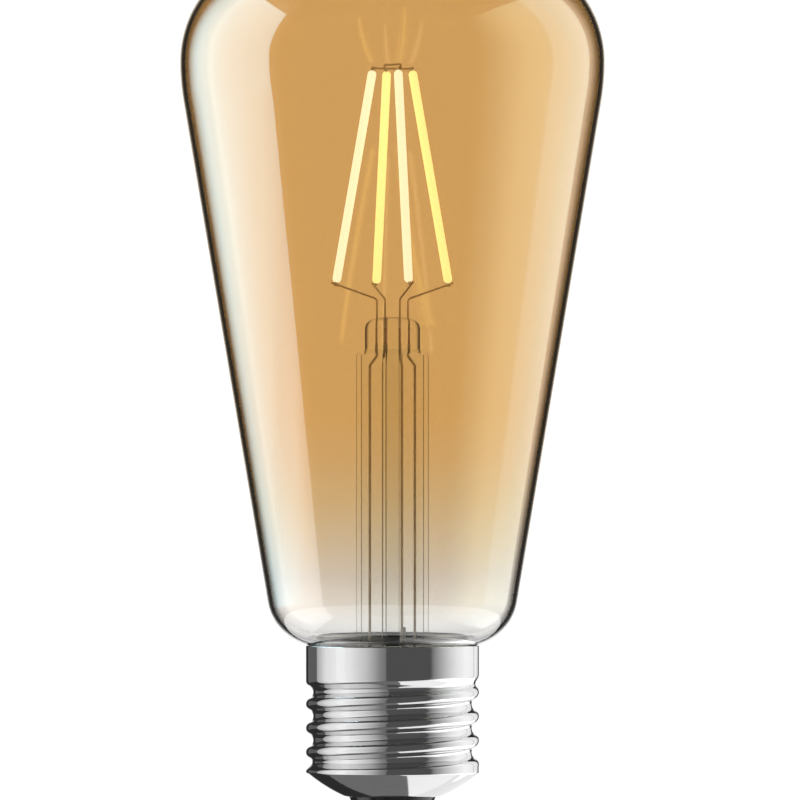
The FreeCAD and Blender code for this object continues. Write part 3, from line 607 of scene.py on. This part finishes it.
# Azimuths are in degrees from the camera's side of the lamp, positive to the right.
# Heights of a direction are the sine of its elevation, up or down.
WHITE = 1.05
STUDIO_RING = [  # (azimuth, brightness) of the surround that reflections see
    (-180, 0.03), (-122, 0.03), (-119, 0.55), (-113, 0.62), (-100, 0.95), (-80, 1.07), (-65, 0.092),
    (52, 0.092), (57, 0.27), (66, 0.45), (83, 0.80), (95, 1.0), (114, 1.2), (136, 1.1), (143, 0.3),
    (149, 0.03), (180, 0.03),
]
RING_FADE = (0.62, 0.80)  # heights between which the ring gives way to the dark above and below
UPPER_DARK = 0.05
BACKDROP_EDGE = (164, 172)  # azimuths, either side, between which the white backdrop comes in
BACKDROP_FADE = (0.20, 0.27)  # heights between which it ends
STRAIGHT_EDGE = (148, 153)  # azimuths up to which views with no reflection see white

# Places of the cards and the floor, in metres
CARD_DISTANCE = 0.4
GLASS_MIDDLE = 0.03
CAP_MIDDLE = 0.02
FOOT_CARD_HEIGHT = -0.161
FLOOR_HEIGHT = -0.5
FLOOR_SIZE = 1.0


def grey(value):
    """A colour with no hue."""
    return value, value, value


def studio_world():
    """Pale cards and dark gaps in a ring about the lamp, with a white backdrop right behind it."""
    world = bpy.data.worlds.new("studio")
    bpy.context.scene.world = world
    world.use_nodes = True
    tree = world.node_tree
    white = (*grey(WHITE), 1)
    place = tree.nodes.new("ShaderNodeTexCoord").outputs["Generated"]
    x, y, z = add(tree, "ShaderNodeSeparateXYZ", Vector=place).outputs
    azimuth = calc(tree, "DEGREES", calc(tree, "ARCTAN2", x, calc(tree, "MULTIPLY", y, -1.0)))
    off_axis = calc(tree, "ABSOLUTE", azimuth)
    height = calc(tree, "ABSOLUTE", z)

    turns = stretch(tree, azimuth, -180, 180)
    ring = ramp(tree, turns, [((a + 180) / 360, grey(brightness)) for a, brightness in STUDIO_RING])
    sides = mix(tree, stretch(tree, height, *RING_FADE), ring, (*grey(UPPER_DARK), 1))

    edge = stretch(tree, off_axis, *BACKDROP_EDGE)
    across = ramp(tree, edge, [(0, grey(0)), (0.5, grey(0.3)), (1, grey(1))])
    upright = stretch(tree, height, *reversed(BACKDROP_FADE))
    surround = mix(tree, calc(tree, "MULTIPLY", across, upright), sides, white)

    path = tree.nodes.new("ShaderNodeLightPath").outputs
    unreflected = calc(tree, "LESS_THAN", path["Glossy Depth"], 0.5)
    within = stretch(tree, off_axis, *reversed(STRAIGHT_EDGE))
    straight = calc(tree, "MULTIPLY", unreflected, calc(tree, "MAXIMUM", within, path["Is Camera Ray"]))
    tree.links.new(mix(tree, straight, surround, white), tree.nodes["Background"].inputs["Color"])


PLAIN = [(0, grey(1)), (1, grey(1))]


def card(name, place, aim, size, strength, receivers, across=PLAIN, up=PLAIN, shape="RECTANGLE"):
    """A lit card that its receivers alone reflect.

    across and up are (share, colour) stops along the card's local X and Y.
    """
    data = bpy.data.lights.new(name, "AREA")
    data.shape = shape
    data.size, data.size_y = size
    data.energy = strength * size[0] * size[1] * math.pi
    data.use_nodes = True
    tree = data.node_tree
    geometry = tree.nodes.new("ShaderNodeNewGeometry")
    shares = add(tree, "ShaderNodeSeparateXYZ", Vector=geometry.outputs["Parametric"]).outputs
    product = tree.nodes.new("ShaderNodeVectorMath")
    product.operation = "MULTIPLY"
    for socket, share, stops in zip(product.inputs, shares, (across, up)):
        tree.links.new(ramp(tree, share, stops), socket)
    tree.links.new(product.outputs[0], tree.nodes["Emission"].inputs["Color"])
    light = bpy.data.objects.new(name, data)
    bpy.context.scene.collection.objects.link(light)
    light.location = place
    light.rotation_euler = (Vector(aim) - Vector(place)).to_track_quat("-Z", "Y").to_euler()
    light.visible_camera = False
    light.visible_transmission = False
    light.light_linking.receiver_collection = receivers
    return light


def around(azimuth, distance, height):
    """A place at a distance from the axis and a height, in metres."""
    angle = math.radians(azimuth)
    return math.sin(angle) * distance, -math.cos(angle) * distance, height


def receivers_of(name, piece):
    """A collection that holds the one piece a card lights."""
    collection = bpy.data.collections.new(name)
    collection.objects.link(piece)
    return collection


def floor():
    """A plain pale floor, well below the lamp."""
    bpy.ops.mesh.primitive_plane_add(size=FLOOR_SIZE, location=(0, 0, FLOOR_HEIGHT))
    plane = bpy.context.object
    plane.name = "studio_floor"
    plane.data.materials.append(mottled("pale_floor", grey(0.80), grey(0.85), 40.0, (0.8, 0.95)))


def glass_cards():
    """Cards for the envelope: a long highlight on each side and a pale ellipse on the foot.

    The colours offset the amber of the glass.
    """
    glass = receivers_of("glass_receivers", envelope)
    card(
        "left_card", around(-106, CARD_DISTANCE, GLASS_MIDDLE), (0, 0, GLASS_MIDDLE), (0.62, 0.9), 5.2, glass,
        across=[(0, grey(0)), (0.065, grey(0.12)), (0.25, grey(0.68)), (0.42, grey(1)), (1, grey(1))],
        up=[
            (0.30, (0.35, 0.35, 0.38)), (0.38, (0.55, 0.56, 0.60)), (0.402, (0.62, 0.80, 0.90)),
            (0.432, (0.52, 0.83, 0.97)), (0.445, (0.60, 0.97, 1.12)), (0.469, (0.66, 1.10, 1.26)),
            (0.50, (0.70, 1.24, 1.44)),
        ])
    card(
        "right_card", around(88, CARD_DISTANCE, GLASS_MIDDLE), (0, 0, GLASS_MIDDLE), (0.772, 0.9), 1.0, glass,
        across=[
            (0, grey(0)), (0.12, (0.4, 0.55, 0.35)), (0.25, (0.95, 1.25, 0.75)), (0.40, (1.5, 1.9, 1.2)),
            (0.54, (1.3, 1.75, 1.1)), (0.565, (1.75, 2.4, 2.0)), (0.75, (1.6, 2.1, 1.75)),
            (0.93, (1.35, 1.6, 1.4)), (1, (1.0, 1.2, 1.0)),
        ],
        up=[(0.30, grey(0.5)), (0.40, grey(1)), (0.43, grey(1)), (0.50, grey(1.3))])
    card("foot_card", (0, 0, FOOT_CARD_HEIGHT), (0, 0, 0), (1.0, 1.0), 1.4, glass, shape="ELLIPSE")


def cap_cards():
    """Cards for the plated cap: a broad one on the left, a narrow one on the right, and one below."""
    metal = receivers_of("cap_receivers", cap)
    middle = (0, 0, CAP_MIDDLE)
    card(
        "cap_left_card", around(-44, CARD_DISTANCE, CAP_MIDDLE), middle, (0.58, 0.8), 1.0, metal,
        across=[
            (0, grey(0)), (0.235, grey(0.94)), (0.328, grey(0.92)), (0.585, grey(0.62)), (0.859, grey(0.20)),
            (1, grey(0.11)),
        ])
    card("cap_edge_card", around(-135, CARD_DISTANCE, CAP_MIDDLE), middle, (0.21, 0.16), 0.10, metal)
    card("cap_right_card", around(148, CARD_DISTANCE, CAP_MIDDLE), middle, (0.12, 0.6), 0.9, metal)
    card("cap_low_card", (0.17, 0.20, -0.12), (0.17, 0.20, 0.0), (0.3, 0.6), 0.95, metal)


floor()
studio_world()
glass_cards()
cap_cards()


# ---- Camera ----

VIEW_WIDTH = 120.5 * MM
VIEW_HEIGHT = 63.75 * MM
VIEW_OFFSET = 1.137 * MM
CAMERA_DISTANCE = 1.6
SENSOR = 36.0


def camera():
    """A level camera with a long lens, which frames the lamp from the shoulder to the cap."""
    data = bpy.data.cameras.new("camera")
    data.sensor_width = SENSOR
    data.lens = SENSOR * CAMERA_DISTANCE / VIEW_WIDTH
    eye = bpy.data.objects.new("camera", data)
    bpy.context.scene.collection.objects.link(eye)
    eye.location = (VIEW_OFFSET, -CAMERA_DISTANCE, VIEW_HEIGHT)
    eye.rotation_euler = (math.radians(90), 0, 0)
    bpy.context.scene.camera = eye


camera()
bpy.context.scene.view_settings.view_transform = "Standard"
